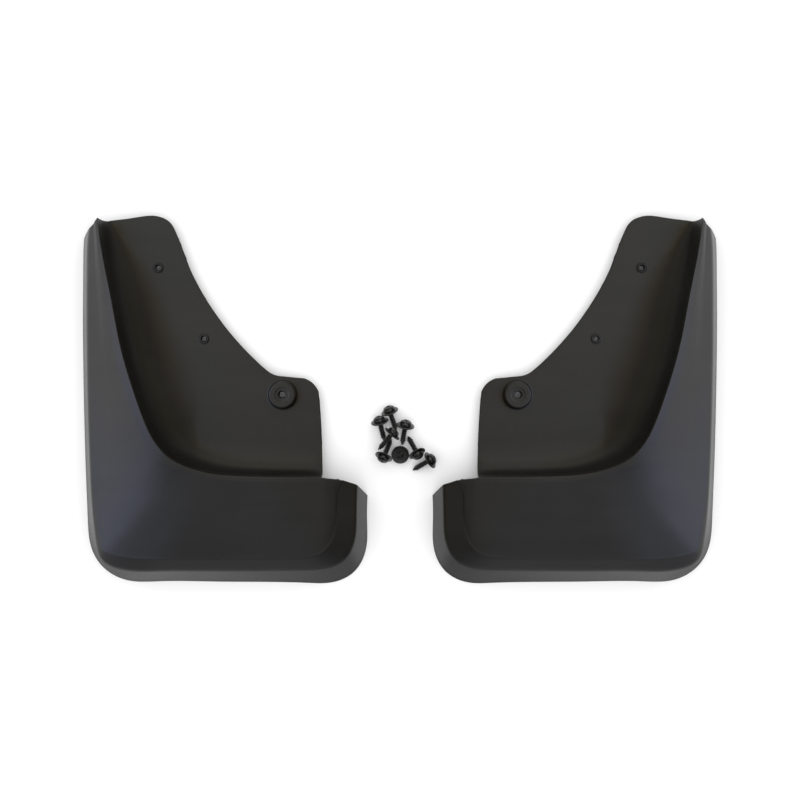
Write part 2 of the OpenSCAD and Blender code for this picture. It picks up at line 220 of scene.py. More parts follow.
# ------------------------------------------------------------------ flap: sections
def flap_lines():
    """Everything that varies along the border, as one array per name, a row per station."""
    foot, top, border, rim, scoop = zip(*SECTIONS)
    foot = np.array([(x, y, 0.0) for x, y in foot])
    top, border, rim = (np.array(column, float) for column in (top, border, rim))
    k = np.arange(len(SECTIONS))
    # the border line lies on the slope from wall top to rim, and later just over the wall top
    share = np.minimum(1, np.linalg.norm(border - top[:, :2], axis=1)
                       / np.linalg.norm(rim[:, :2] - top[:, :2], axis=1))
    flat = clamp((k - 8) / 5.0)
    border_z = ((1 - flat) * (top[:, 2] + (rim[:, 2] - top[:, 2]) * share)
                + flat * (top[:, 2] + 4.5))
    border = np.column_stack([border, border_z])

    t = STATIONS
    foot, top, border, rim = (cubic(points, t) for points in (foot, top, border, rim))
    foot[:, 2] = 0
    scoop = cubic(np.array(scoop)[:, None], t)[:, 0]
    inset = clamp(cubic(clamp((k - 8.3) / 1.6)[:, None], t)[:, 0])
    # along the bottom the scoop runs out into the sheet in a long shallow sweep
    sweep = smooth(clamp((t - 10.0) / 5.0) * clamp((22.0 - t) / 3.0))
    bottom = smooth((t - 8.0) / 3.0)
    top_run, border_run, rim_run = (unit(np.gradient(p, axis=0)) for p in (top, border, rim))
    return dict(
        foot=foot, top=top, border=border, rim=rim,
        top_run=top_run, border_run=border_run, rim_run=rim_run,
        # level direction from the rim towards the sheet
        inward=unit(np.stack([-rim_run[:, 1], rim_run[:, 0], np.zeros(len(t))], 1)),
        scoop=scoop + 19.0 * sweep,
        sweep=sweep,
        # the inset line dies away at the inboard end
        inset=inset * clamp((21.6 - t) / 1.4),
        # flatter band along the rim: its width and the height of its crease
        band=6.4 - 3.6 * bottom,
        crease=1.15 - 0.90 * bottom,
        lean=smooth((t - 15.5) / 2.0))


def section(at, reaches_sheet):
    """One section from foot to scoop: its points on the seen side and those behind them."""
    seen, back = [], []

    def put(point, behind):
        seen.append(point)
        back.append(behind)

    up = np.array([0, 0, 1.0])
    wall = unit(at.top - at.foot)
    border = unit(at.border - at.top)
    face = unit(at.rim - at.border)
    wall_normal = unit(np.cross(at.top_run, wall))
    border_normal = unit(np.cross(at.top_run + at.border_run, border))
    face_normal = unit(np.cross(at.border_run + at.rim_run, face))

    wall_end = at.top - wall * TOP_ROUND
    border_start = at.top + border * TOP_ROUND
    face_end = at.rim - face * min(RIM_ROUND * 1.15, np.linalg.norm(at.border - at.rim) * 0.6)
    lip_start = at.rim - up * RIM_ROUND

    level = wall_normal[:2] / np.dot(wall_normal[:2], wall_normal[:2])
    back_foot = at.foot - np.array([level[0], level[1], 0]) * WALL
    back_top = miter(at.top, wall_normal, border_normal, at.top_run)
    back_wall_end = back_top - wall * BACK_ROUND
    back_border_start = back_top + border * BACK_ROUND
    back_border = at.border - unit(border_normal + face_normal) * WALL
    back_rim = miter(at.rim, face_normal, at.inward, at.rim_run)
    back_face_end = back_rim - face * BACK_ROUND
    back_lip_start = back_rim - up * BACK_ROUND

    # wall, with a barely visible crown, and its rounded top
    for q in range(WALL_ROWS):
        s = q / WALL_ROWS
        put(lerp(at.foot, wall_end, s) + wall_normal * WALL_CROWN * math.sin(math.pi * s),
            lerp(back_foot, back_wall_end, s))
    for q in range(TOP_ROWS):
        s = q / (TOP_ROWS - 1)
        put(bezier(wall_end, at.top, border_start, s),
            bezier(back_wall_end, back_top, back_border_start, s))
    for q in range(1, BORDER_ROWS):
        s = q / BORDER_ROWS
        put(lerp(border_start, at.border, s), lerp(back_border_start, back_border, s))

    # face: the inset line, a slight crown, then the crease and band along the rim
    length = np.linalg.norm(face_end - at.border)
    band = min(at.band, 0.3 * length)
    crease = at.crease * band / at.band

    def ridge(distance):
        """Height at a distance from the border: up to the crease, then down the band."""
        rise, drop = distance / (length - band), (length - distance) / band
        return crease * (rise + drop - math.sqrt((rise - drop) ** 2 + 0.03)) / 2

    rows = [(near if length > WIDE_FACE else share * length, INSET_DEPTH * at.inset * depth)
            for near, share, depth in INSET]
    reach = rows[-1][0]
    span = length - reach - BAND_ROWS[0] * band
    distances = [reach + span * q / FACE_ROWS for q in range(1, FACE_ROWS)]
    distances += [length - band * widths for widths in BAND_ROWS]
    for distance in distances:
        crown = FACE_CROWN * math.sin(math.pi * min(1, distance / (length - band)))
        rows.append((distance, crown * (0.4 + 0.6 * at.inset)))
    for distance, lift in rows:
        s = distance / length
        lift = lift + ridge(distance) - ridge(0.0) * (1 - s)
        put(lerp(at.border, face_end, s) + face_normal * lift,
            lerp(back_border, back_face_end, s))

    for q in range(RIM_ROWS):
        s = q / (RIM_ROWS - 1)
        put(bezier(face_end, at.rim, lip_start, s),
            bezier(back_face_end, back_rim, back_lip_start, s))

    # scoop: first the lip, then down to the sheet
    def on_scoop(start, width, low, high, out, drop):
        point = start + at.inward * width * out - np.array([LEAN * at.lean * out, 0, 0])
        point[2] = low + (high - low) * drop
        return point

    params = [LIP_SHARE * q / LIP_ROWS for q in range(1, LIP_ROWS + 1)]
    if reaches_sheet:
        params += [LIP_SHARE + (1 - LIP_SHARE) * q / SCOOP_ROWS
                   for q in range(1, SCOOP_ROWS + 1)]
    out_pull, drop_pull = 0.35 - 0.33 * at.sweep, 0.22 - 0.20 * at.sweep
    for t in params:
        out = 3 * (1 - t) * t * t * out_pull + t ** 3
        drop = (1 - t) ** 3 + 3 * (1 - t) ** 2 * t * drop_pull
        put(on_scoop(at.rim, at.scoop, SHEET_TOP, lip_start[2], out, drop),
            on_scoop(back_rim, at.scoop + WALL, SHEET_Z, back_lip_start[2], out, drop))
    if reaches_sheet:
        back[-1] = np.array([seen[-1][0], seen[-1][1], SHEET_Z])
    return seen, back


# ------------------------------------------------------------------ flap: flat sheet
def sheet_outline(first, last):
    """Free edge of the sheet, between the scoop's first and last points on it."""
    path = []
    for k in range(len(SHEET_EDGE) - 1):
        gap = np.linalg.norm(np.subtract(SHEET_EDGE[k + 1], SHEET_EDGE[k]))
        steps = max(2, int(round(gap / EDGE_STEP)))
        path += [catmull(SHEET_EDGE, k, q / steps) for q in range(steps)]
    # the inboard chamfer bulges and its corners are softened
    start, end, side = (np.array(p, float) for p in (SHEET_EDGE[-1], CHAMFER_END, INBOARD_START))
    path.append(start)
    middle = (start + end) / 2
    bulge = np.array([1.3, 1.3])
    path += [bezier(start, middle + 2 * bulge, end, t) for t in np.linspace(0.06, 0.94, 14)]
    path += [bezier(lerp(end, middle + bulge, -0.05), lerp(end, side, 0.12),
                    lerp(end, side, 0.4), t) for t in (0.2, 0.5, 0.8)]
    path += [lerp(end, side, t) for t in (0.6, 0.8)]
    # slightly bowed inboard side, down to the scoop
    path += [lerp(side, last, t) + np.array([0.16 * math.sin(math.pi * t), 0])
             for t in np.linspace(0, 1, 26)[:-1]]
    path = np.array([p for p in path if p[0] > first[0] + 1.2])
    # moulding flash: a few small nibs along one stretch of the edge
    random = np.random.RandomState(7)
    run = unit(np.gradient(path, axis=0))
    outward = np.stack([-run[:, 1], run[:, 0]], 1)
    for q in range(len(path)):
        if 268 < path[q, 1] < 290 and 78 < path[q, 0] < 92:
            path[q] += outward[q] * 0.42 * max(0, random.rand() - 0.45) / 0.55
    return path


def add_flat(seen, back, x, y):
    """Add a point of the flat sheet, on both sides, and return its index."""
    seen.append(np.array([x, y, SHEET_TOP]))
    back.append(np.array([x, y, SHEET_Z]))
    return len(seen) - 1


def inside(point, polygon):
    x, y = point
    result = False
    for q in range(len(polygon)):
        x1, y1 = polygon[q]
        x2, y2 = polygon[q - 1]
        if (y1 > y) != (y2 > y) and x < (x2 - x1) * (y - y1) / (y2 - y1) + x1:
            result = not result
    return result


def edge_distance(point, polygon):
    side = np.roll(polygon, -1, axis=0) - polygon
    s = clamp(((point - polygon) * side).sum(1) / np.maximum((side * side).sum(1), 1e-9))
    return np.linalg.norm(polygon + side * s[:, None] - point, axis=1).min()


def in_feature(point, reach):
    """Whether point is nearer to a feature's centre than reach(opening radius, segments)."""
    return any(np.linalg.norm(point - np.array(centre)) < reach(radius, segments)
               for centre, radius, segments, _, _ in FEATURES)


def fill_sheet(seen, back, loop):
    """Triangles within the loop, and the ring of points round each feature's opening."""
    polygon = np.array([seen[q][:2] for q in loop])
    ids = list(loop)
    edges = [(q, (q + 1) % len(loop)) for q in range(len(loop))]
    rings = []
    for (x, y), radius, segments, _, _ in FEATURES:
        ring = [add_flat(seen, back, x + radius * math.cos(a), y + radius * math.sin(a))
                for a in angles(segments)]
        edges += [(len(ids) + q, len(ids) + (q + 1) % segments) for q in range(segments)]
        ids += ring
        rings.append(ring)
    # staggered grid of points, clear of the outline and the features
    low, high = polygon.min(0), polygon.max(0)
    for column, x in enumerate(np.arange(low[0], high[0], GRID)):
        for y in np.arange(low[1], high[1], GRID) + (GRID / 2 if column % 2 else 0.0):
            point = np.array([x, y])
            if not inside(point, polygon) or edge_distance(point, polygon) < 3.2:
                continue
            if not in_feature(point, lambda radius, segments: radius + 2.5):
                ids.append(add_flat(seen, back, x, y))

    flat = [Vector((float(seen[q][0]), float(seen[q][1]))) for q in ids]
    places, _, triangles, origins, _, _ = delaunay_2d_cdt(flat, edges, [], 0, 1e-4, True)
    faces = []
    for triangle in triangles:
        centre = sum((np.array(places[q]) for q in triangle), np.zeros(2)) / len(triangle)
        if not inside(centre, polygon) or in_feature(
                centre, lambda radius, segments: radius * math.cos(math.pi / segments)):
            continue
        face = [ids[origins[q][0]] for q in triangle]
        a, b, c = (seen[q][:2] for q in face[:3])
        if np.cross(b - a, c - a) < 0:
            face.reverse()
        faces.append(tuple(face))
    return faces, rings


# ------------------------------------------------------------------ flap: closing the shell
def close_shell(seen, back, faces, edge):
    """Join both sides with a rounded strip along the edge; returns all points and faces."""
    seen, back = np.array(seen), np.array(back)
    count = len(seen)
    beside = {q: set() for q in edge}
    for face in faces:
        for q in face:
            if q in beside:
                beside[q].update(other for other in face if other not in beside)
    top, under = seen[edge], back[edge]
    along = unit(np.roll(top, -1, 0) - np.roll(top, 1, 0))
    through = unit(top - under)
    outward = unit(np.cross(along, through))
    # outward means away from the neighbours inside
    votes = 0
    for k, q in enumerate(edge):
        if beside[q]:
            centre = seen[list(beside[q])].mean(0)
            votes += 1 if np.dot(outward[k], top[k] - centre) > 0 else -1
    if votes < 0:
        outward = -outward

    # the rounding shrinks where the rows or the wall are too narrow for it
    radius = np.full(len(edge), EDGE_R)
    for k, q in enumerate(edge):
        if beside[q]:
            room = min(abs(np.dot(seen[other] - top[k], outward[k])) for other in beside[q])
            radius[k] = min(radius[k], 0.5 * room)
        radius[k] = max(0.12, min(radius[k], 0.32 * np.linalg.norm(top[k] - under[k])))
    for _ in range(3):
        radius = np.minimum(radius, (np.roll(radius, 1) + radius + np.roll(radius, -1)) / 3 * 1.2)
    radius = radius[:, None]
    seen[edge] = top - outward * radius
    back[edge] = under - outward * radius

    points, strips = [seen, back], [edge]
    turns = (22.5, 45, 67.5, 90)
    for line, side, order in ((top, 1, turns), (under, -1, turns[::-1])):
        for turn in order:
            sine, cosine = math.sin(math.radians(turn)), math.cos(math.radians(turn))
            base = 2 * count + (len(strips) - 1) * len(edge)
            points.append(line - outward * radius * (1 - sine)
                          - side * through * radius * (1 - cosine))
            strips.append(range(base, base + len(edge)))
    strips.append([q + count for q in edge])

    sides = {(face[a], face[(a + 1) % len(face)]) for face in faces for a in range(len(face))}
    same_way = (edge[0], edge[1]) in sides
    shell = list(faces) + [tuple(q + count for q in reversed(face)) for face in faces]
    for upper, lower in zip(strips, strips[1:]):
        for k in range(len(edge)):
            k2 = (k + 1) % len(edge)
            quad = (upper[k], lower[k], lower[k2], upper[k2])
            shell.append(quad if same_way else tuple(reversed(quad)))
    return list(np.vstack(points)), shell


def turn_feature(points, faces, feature, ring, under_ring):
    """Revolve a feature's profile from its opening, through the sheet or to a closed floor."""
    (cx, cy), _, segments, profile, goes_through = feature
    pairs = [(q, (q + 1) % segments) for q in range(segments)]
    previous = ring

    def join(outer, inner):
        for q, q2 in pairs:
            faces.append((outer[q2], inner[q2], inner[q], outer[q]))

    for radius, z in profile:
        current = range(len(points), len(points) + segments)
        for a in angles(segments):
            points.append((cx + radius * math.cos(a), cy + radius * math.sin(a), SHEET_TOP + z))
        join(previous, current)
        previous = current
    if goes_through:
        join(previous, under_ring)
        return
    centre = len(points)
    points += [(cx, cy, SHEET_TOP + profile[-1][1]), (cx, cy, SHEET_Z)]
    for q, q2 in pairs:
        faces.append((previous[q2], centre, previous[q]))
    for q, q2 in pairs:
        faces.append((under_ring[q], centre + 1, under_ring[q2]))


def build_flap():
    lines = flap_lines()
    seen, back, rows = [], [], []
    for i in range(len(STATIONS)):
        at = SimpleNamespace(**{name: values[i] for name, values in lines.items()})
        points, behind = section(at, i <= SHEET_END)
        rows.append(list(range(len(seen), len(seen) + len(points))))
        seen += points
        back += behind
    quads = []
    for here, there in zip(rows, rows[1:]):
        for j in range(min(len(here), len(there)) - 1):
            quads.append((here[j], here[j + 1], there[j + 1], there[j]))

    outline = sheet_outline(seen[rows[0][-1]][:2], seen[rows[SHEET_END][-1]][:2])
    sheet_edge = [add_flat(seen, back, x, y) for x, y in outline][::-1]
    scoop_foot = [row[-1] for row in rows[:SHEET_END + 1]]
    sheet_faces, rings = fill_sheet(seen, back, scoop_foot + sheet_edge)
    # the quads must face the seen side, as the sheet does
    a, b, _, d = quads[len(quads) // 2]
    if np.cross(seen[b] - seen[a], seen[d] - seen[a])[2] < 0:
        quads = [tuple(reversed(quad)) for quad in quads]

    lip = len(rows[-1]) - 1                    # last row that every station has
    edge = [row[0] for row in rows] + rows[-1][1:]
    edge += [row[lip] for row in rows[-2:SHEET_END:-1]] + rows[SHEET_END][lip:]
    edge += sheet_edge + rows[0][:0:-1]
    count = len(seen)
    points, faces = close_shell(seen, back, quads + sheet_faces, edge)
    for feature, ring in zip(FEATURES, rings):
        turn_feature(points, faces, feature, ring, [q + count for q in ring])
    return np.array(points), faces


# ------------------------------------------------------------------ meshes
def new_mesh(name, points, faces):
    mesh = bpy.data.meshes.new(name)
    mesh.from_pydata([[c * MM for c in point] for point in points], [], faces)
    return mesh


def link(name, mesh):
    obj = bpy.data.objects.new(name, mesh)
    bpy.context.scene.collection.objects.link(obj)
    return obj


def clean(mesh, weld=None, sliver=None, sharp_angle=None):
    """Weld and dissolve if asked, face outwards and shade smooth but for sharp edges."""
    bm = bmesh.new()
    bm.from_mesh(mesh)
    if weld:
        bmesh.ops.remove_doubles(bm, verts=bm.verts, dist=weld)
    if sliver:
        bmesh.ops.dissolve_degenerate(bm, edges=bm.edges, dist=sliver)
    bmesh.ops.recalc_face_normals(bm, faces=bm.faces)
    if sharp_angle:
        for edge in bm.edges:
            if len(edge.link_faces) == 2 and edge.calc_face_angle(0) > sharp_angle:
                edge.smooth = False
    for face in bm.faces:
        face.smooth = True
    bm.to_mesh(mesh)
    bm.free()


def add_flap(name, points, faces):
    mesh = new_mesh(name, points, faces)
    mesh.validate()
    clean(mesh, weld=2e-6, sliver=1e-7)
    return link(name, mesh)


flap_low, flap_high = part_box("left_flap")
flap_points, flap_faces = build_flap()
for axis in (0, 1):                      # hold the moulding to the CAD outline
    along_axis = flap_points[:, axis]
    start, end = along_axis.min(), along_axis.max()
    low = flap_low[axis] / MM + OUTLINE_GAP
    high = flap_high[axis] / MM - OUTLINE_GAP
    flap_points[:, axis] = low + (along_axis - start) * (high - low) / (end - start)
left = add_flap("left_flap_moulding", flap_points, flap_faces)
right = add_flap("right_flap_moulding", flap_points * (-1, 1, 1),
                 [tuple(reversed(face)) for face in flap_faces])
for flap, body in ((left, "left_flap"), (right, "right_flap")):
    normals = flap.modifiers.new("weighted", "WEIGHTED_NORMAL")
    normals.weight = 60
    normals.keep_sharp = False
    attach(flap, body)
    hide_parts(body)

# ------------------------------------------------------------------ screws and washers (mm)
# Lie of each screw in the heap: bearing face of the head, then heading and dip of the tip
LIE = [
    ((-8.9, -8.8, 7.7), -70.2, 21.5), ((-17.1, -17.3, 7.7), -76.2, 21.5),
    ((4.7, -20.6, 7.7), -99.5, 22.9), ((-6.0, -27.5, 11.6), -130.5, 10.0),
    ((-13.9, -48.1, 8.9), 67.5, 26.9), ((0.2, -45.8, 3.81), 0.0, -90.0),
    ((14.6, -45.3, 8.9), 118.5, 26.9), ((25.7, -49.8, 7.7), -148.6, 21.5),
]
SPIN = 37                                # degrees each screw is turned on from the one before
# A screw stands on its axis: bearing face at z = 0, head above and shank below
HEAD_R, HEAD_H, NECK_R = 5.1, 3.8, 2.0
DOME_FLAT, DOME_FOOT = 1.6, 0.8          # radius of the dome's flatter middle, z of its foot
ROOT_R, CREST_R, PITCH = 1.8, 2.38, 1.6
THREAD_TOP, THREAD_END, TIP = -2.3, -15.0, -19.0
POINT_R = 0.12                           # radius of the core at the tip
SCREW_SEGMENTS, RINGS_PER_PITCH = 48, 11
# Under the dome: (radius, z) of the head's edge, bearing face and neck
HEAD_AND_NECK = [
    (HEAD_R, 0.55), (HEAD_R - 0.02, 0.3), (HEAD_R - 0.09, 0.12), (HEAD_R - 0.25, 0.02),
    (HEAD_R - 0.5, 0.0), (3.2, 0.0), (2.35, 0.0), (2.12, -0.03), (NECK_R + 0.02, -0.14),
    (NECK_R, -0.35), (NECK_R, -1.6), (NECK_R - 0.04, -1.85), (NECK_R - 0.14, -2.1)]
# Cross recess, upwards from its floor: half length and half width of a slot, z
RECESS = [(0.75, 0.30, 1.2), (1.55, 0.38, 1.75), (1.9, 0.44, 2.3), (2.1, 0.50, 3.0),
          (2.2, 0.53, 4.2)]
# Washer section, over the top and back underneath: radius, height from its upper face
WASHER_TOP, WASHER_SEGMENTS = -0.06, 72
WASHER = [
    (2.12, -0.2), (2.2, -0.04), (2.4, 0.0), (3.6, 0.0), (5.0, 0.0), (5.5, -0.03), (6.1, -0.09),
    (6.6, -0.15), (7.0, -0.24), (7.22, -0.33), (7.38, -0.47), (7.46, -0.62), (7.47, -0.85),
    (7.44, -1.05), (7.35, -1.18), (7.2, -1.24), (6.95, -1.25), (6.6, -1.2), (6.25, -1.12),
    (5.8, -1.03), (5.2, -0.95), (4.6, -0.9), (3.4, -0.87), (2.4, -0.86), (2.2, -0.82),
    (2.12, -0.68)]


def screw_radius(z, turn):
    """Radius of the shank at height z and angle turn (0 to 1), with its helical thread."""
    phase = (-(z - THREAD_TOP) / PITCH - turn) % 1.0
    height = max(0.0, 1.0 - abs(phase - 0.5) / 0.30)
    height = smooth(height) * 0.35 + height * 0.65
    run_in = clamp((THREAD_TOP - z) / 1.2)
    if z > THREAD_END:
        core, depth = ROOT_R, CREST_R - ROOT_R
    else:
        q = (THREAD_END - z) / (THREAD_END - TIP)
        core = ROOT_R * (1 - q) + POINT_R * q
        crest = CREST_R - 0.435 * (THREAD_END - z)
        depth = max(0.0, crest - core) * (1 - q ** 8)
    return core + depth * height * run_in


def screw_blank():
    """Screw without its recess, as rings from the top of the dome to the tip."""
    profile = []
    for a in range(84, -1, -6):
        tilt = math.radians(a)
        profile.append((DOME_FLAT * min(1, (90 - a) / 24) + (HEAD_R - DOME_FLAT) * math.cos(tilt),
                        DOME_FOOT + (HEAD_H - 0.92) * math.sin(tilt)
                        + 0.1 * max(0, (a - 60) / 30)))
    rings = [([radius] * SCREW_SEGMENTS, z) for radius, z in profile + HEAD_AND_NECK]
    for z in np.arange(THREAD_TOP, TIP + 0.15, -PITCH / RINGS_PER_PITCH):
        rings.append(([screw_radius(z, q / SCREW_SEGMENTS) for q in range(SCREW_SEGMENTS)], z))

    points, faces = [(0, 0, HEAD_H)], []
    pairs = [(q, (q + 1) % SCREW_SEGMENTS) for q in range(SCREW_SEGMENTS)]
    previous = None
    for radii, z in rings:
        base = len(points)
        points += [(radius * math.cos(a), radius * math.sin(a), z)
                   for radius, a in zip(radii, angles(SCREW_SEGMENTS))]
        for q, q2 in pairs:
            if previous is None:
                faces.append((0, base + q, base + q2))
            else:
                faces.append((previous + q, base + q, base + q2, previous + q2))
        previous = base
    tip = len(points)
    points.append((0, 0, TIP))
    faces += [(previous + q, tip, previous + q2) for q, q2 in pairs]
    return new_mesh("screw_blank", points, faces)


def recess_cutter():
    bm = bmesh.new()
    below = None
    for l, w, z in RECESS:
        cross = [(l, -w), (l, w), (w, w), (w, l), (-w, l), (-w, w),
                 (-l, w), (-l, -w), (-w, -w), (-w, -l), (w, -l), (w, -w)]
        ring = [bm.verts.new((x * MM, y * MM, z * MM)) for x, y in cross]
        if below is None:
            bm.faces.new(list(reversed(ring)))
        else:
            for q in range(len(ring)):
                q2 = (q + 1) % len(ring)
                bm.faces.new((below[q], below[q2], ring[q2], ring[q]))
        below = ring
    bm.faces.new(below)
    bmesh.ops.recalc_face_normals(bm, faces=bm.faces)
    mesh = bpy.data.meshes.new("cross_cutter")
    bm.to_mesh(mesh)
    bm.free()
    return mesh


def screw_mesh():
    blank = link("screw_blank", screw_blank())
    cutter = link("cross_cutter", recess_cutter())
    cut = blank.modifiers.new("recess", "BOOLEAN")
    cut.operation, cut.solver, cut.object = "DIFFERENCE", "EXACT", cutter
    evaluated = blank.evaluated_get(bpy.context.evaluated_depsgraph_get())
    mesh = bpy.data.meshes.new_from_object(evaluated)
    bpy.data.objects.remove(blank)
    bpy.data.objects.remove(cutter)
    clean(mesh, weld=2e-6, sharp_angle=0.62)
    return mesh


def washer_mesh():
    points, faces = [], []
    n = len(WASHER)
    for q, a in enumerate(angles(WASHER_SEGMENTS)):
        wobble = 0.012 * math.sin(3 * a)           # the outer part is not quite flat
        for radius, z in WASHER:
            points.append((radius * math.cos(a), radius * math.sin(a),
                           WASHER_TOP + z + (wobble if radius > 5 else 0)))
        q2 = (q + 1) % WASHER_SEGMENTS
        for j in range(n):
            j2 = (j + 1) % n
            faces.append((q * n + j, q * n + j2, q2 * n + j2, q2 * n + j))
    mesh = new_mesh("washer", points, faces)
    clean(mesh)
    return mesh


# the heap is placed by its sixth screw, which stands on its head
upright_low, upright_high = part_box("screw_6")
upright = (upright_low + upright_high) / 2
heap_x = upright.x / MM - LIE[5][0][0]
heap_y = upright.y / MM - LIE[5][0][1]
kinds = (("screw", screw_mesh(), SPIN), ("washer", washer_mesh(), 0))
hardware = []
for k, ((x, y, z), heading, dip) in enumerate(LIE, 1):
    lie = (Matrix.Translation(Vector((x + heap_x, y + heap_y, z)) * MM)
           @ Matrix.Rotation(math.radians(heading), 4, "Z")
           @ Matrix.Rotation(math.radians(-(90 - dip)), 4, "Y"))
    for kind, mesh, spin in kinds:
        piece = link("%s_%d_turned" % (kind, k), mesh.copy())
        # place on the piece itself, for its coating
        own = piece.data.attributes.new("own", "FLOAT_VECTOR", "POINT")
        own.data.foreach_set("vector", [c for v in piece.data.vertices for c in v.co])
        piece.data.transform(lie @ Matrix.Rotation(math.radians(spin * k), 4, "Z"))
        bpy.context.view_layer.update()
        body = "%s_%d" % (kind, k)
        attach(piece, body)
        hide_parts(body)
        hardware.append(piece)


# ------------------------------------------------------------------ materials
def new_material(name):
    material = bpy.data.materials.new(name)
    material.use_nodes = True
    return material, material.node_tree, material.node_tree.nodes["Principled BSDF"]


def feed(socket, value):
    """Link a socket to another, or give it a plain value."""
    if isinstance(value, bpy.types.NodeSocket):
        socket.id_data.links.new(value, socket)
    else:
        socket.default_value = value


def configure(node, **settings):
    """Set a node's inputs (underscores stand for spaces) and its other properties, in order."""
    for key, value in settings.items():
        name = key.replace("_", " ")
        if name in node.inputs.keys():
            feed(node.inputs[name], value)
        else:
            setattr(node, key, value)
    return node


def add(tree, kind, **settings):
    return configure(tree.nodes.new("ShaderNode" + kind), **settings)


def ramp(source, over, to=(0, 1)):
    """Smooth step from one value to the other as the source crosses a range."""
    return add(source.id_data, "MapRange", interpolation_type="SMOOTHSTEP", Value=source,
               From_Min=over[0], From_Max=over[1], To_Min=to[0], To_Max=to[1]).outputs["Result"]


def maths(operation, a, b=None):
    node = add(a.id_data, "Math", operation=operation)
    feed(node.inputs[0], a)
    if b is not None:
        feed(node.inputs[1], b)
    return node.outputs[0]


def distance_2d(x, y):
    return maths("SQRT", maths("ADD", maths("MULTIPLY", x, x), maths("MULTIPLY", y, y)))


def plastic():
    material, tree, shader = new_material("moulded_black_plastic")
    place = add(tree, "TexCoord").outputs["Object"]

    def noise(scale, detail=3.0, rough=0.55, squeeze_y=None):
        vector = place
        if squeeze_y:
            vector = add(tree, "Mapping", Vector=place, Scale=(1.0, squeeze_y, 1.0)).outputs[0]
        return add(tree, "TexNoise", Vector=vector, Scale=scale, Detail=detail,
                   Roughness=rough).outputs["Fac"]

    cloud = noise(scale=14.0)
    flow = noise(scale=9.0, detail=4.0, rough=0.6, squeeze_y=6.0)
    fine = noise(scale=1500.0, detail=2.0)
    grain = noise(scale=5200.0, detail=1.0)
    scuff = noise(scale=60.0, detail=6.0, rough=0.7, squeeze_y=9.0)
    # colour: black with slightly greyer flow streaks, from the mean of both noises
    streaks = maths("ADD", maths("MULTIPLY", cloud, 0.5), maths("MULTIPLY", flow, 0.5))
    colour = add(tree, "Mix", data_type="RGBA", Factor=ramp(streaks, over=(0.35, 0.65)),
                 A=(0.0075, 0.0076, 0.0080, 1), B=(0.0125, 0.0125, 0.0130, 1))
    # roughness: mould finish, with faint handling scuffs
    rough = maths("ADD", ramp(cloud, over=(0.3, 0.7), to=(0.445, 0.49)),
                  ramp(scuff, over=(0.60, 0.75), to=(0.0, 0.05)))
    rough = maths("ADD", rough, ramp(fine, over=(0.35, 0.65), to=(-0.015, 0.02)))
    bumps = add(tree, "Bump", Strength=0.22, Distance=0.00012, Height=fine)
    bumps = add(tree, "Bump", Strength=0.12, Distance=0.00005, Height=grain,
                Normal=bumps.outputs[0])
    configure(shader, Base_Color=colour.outputs["Result"], Roughness=rough, IOR=1.49,
              Normal=bumps.outputs[0])
    return material


def coated(name, threaded):
    """Black coating, rubbed thin on a screw's thread crests or on a washer's outer edge."""
    material, tree, shader = new_material(name)
    place = add(tree, "Attribute", attribute_name="own").outputs["Vector"]
    patches = add(tree, "TexNoise", Scale=420.0, Detail=4.0, Vector=place).outputs["Fac"]
    grain = add(tree, "TexNoise", Scale=1600.0, Detail=3.0, Vector=place).outputs["Fac"]
    x, y, z = add(tree, "SeparateXYZ", Vector=place).outputs
    radius = distance_2d(x, y)
    if threaded:
        wear = maths("MULTIPLY", ramp(radius, over=(0.00216, CREST_R * MM)),
                     ramp(z, over=(-0.0030, -0.0024), to=(1, 0)))
    else:
        edge_wear = 0.55
        wear = maths("MULTIPLY", ramp(radius, over=(0.0071, 0.00747)), edge_wear)
    wear = maths("MULTIPLY", wear, ramp(patches, over=(0.35, 0.62), to=(0.05, 0.75)))
    colour = add(tree, "Mix", data_type="RGBA", Factor=wear,
                 A=(0.0065, 0.0063, 0.0055, 1), B=(0.10, 0.092, 0.078, 1))
    bare_metal = 0.7                     # metallic share where the wear is full
    bumps = add(tree, "Bump", Strength=0.15, Distance=0.00003, Height=grain)
    configure(shader, Base_Color=colour.outputs["Result"],
              Metallic=maths("MULTIPLY", wear, bare_metal),
              Roughness=ramp(patches, over=(0.3, 0.7), to=(0.27, 0.40)),
              IOR=1.6, Coat_Weight=0.25, Coat_Roughness=0.22, Normal=bumps.outputs[0])
    return material


